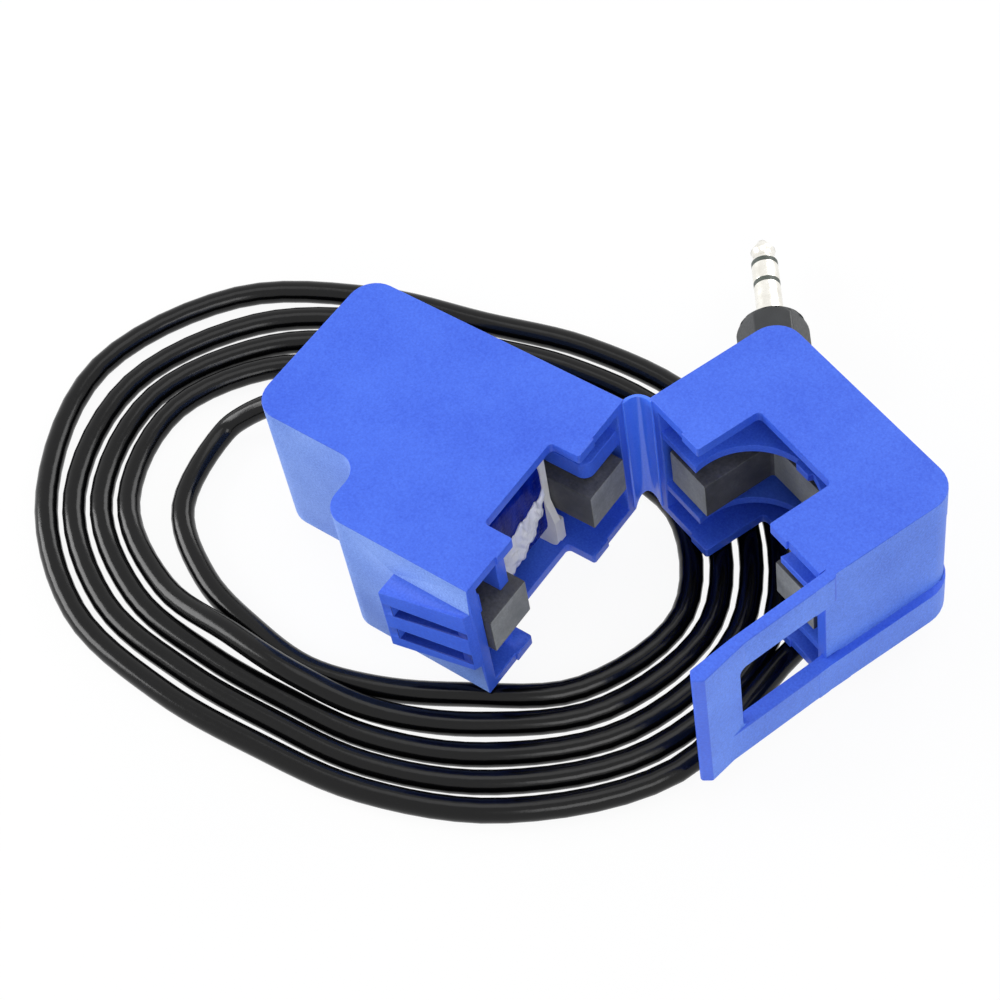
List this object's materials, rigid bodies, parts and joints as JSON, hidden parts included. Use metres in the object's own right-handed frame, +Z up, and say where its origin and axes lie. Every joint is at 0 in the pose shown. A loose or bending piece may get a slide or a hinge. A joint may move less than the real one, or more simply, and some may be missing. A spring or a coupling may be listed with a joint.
{
  "type": "split-core current transformer",
  "caption": "Clip-on current sensor: a coiled body and a hinged lid close a square window round a conductor, with a strap latch, a black lead and a stereo jack plug.",
  "frame": {"origin": "middle of the closed conductor window, half way up the case", "axes": "+Z up along the conductor window's axis, +X along the case from the coil end to the lid, +Y from the latch side to the hinge side"},
  "size_m": [0.1155, 0.0963, 0.0253],
  "materials": {
    "case_blue": "satin",
    "ferrite": "matt",
    "bobbin_nylon": "satin",
    "copper_wire": "enamelled",
    "blue_tape": "gloss",
    "clear_glue": "gloss",
    "red_sleeve": "satin",
    "black_plastic": "satin",
    "black_jacket": "gloss",
    "white_tie": "satin",
    "spring_steel": "satin",
    "nickel": "polished"
  },
  "bodies": {
    "case": {"body_shell": "case_blue", "hinge_loop": "case_blue", "body_core": "ferrite", "bobbin": "bobbin_nylon", "winding": "copper_wire", "winding_tape": "blue_tape", "glue_bead": "clear_glue", "coil_leads": "copper_wire", "lead_joints": "red_sleeve", "suppressor_diode": "black_plastic", "inner_lead": "black_jacket", "lead_anchor": "white_tie", "cable": "black_jacket", "plug_relief": "black_plastic", "plug_handle": "black_plastic", "plug_sleeve": "nickel", "plug_ring": "nickel", "plug_tip": "nickel", "plug_spacer_rear": "black_plastic", "plug_spacer_front": "black_plastic"},
    "lid": {"lid_shell": "case_blue", "lid_core": "ferrite", "core_spring": "spring_steel", "hinge_flap": "case_blue"},
    "strap": {"latch_strap": "case_blue"}
  },
  "joints": [
    {"name": "lid_hinge", "type": "hinge", "parent": "case", "child": "lid", "pos_m": [-0.0024, 0.0181, 0], "axis": [0, 0, 1], "range_deg": [-70, 0]},
    {"name": "latch_flex", "type": "hinge", "parent": "lid", "child": "strap", "pos_m": [0.0299, 0.00751, 0], "axis": [0, 0, 1], "range_deg": [0, 12], "stiffness_Nm_per_rad": 0.05}
  ]
}
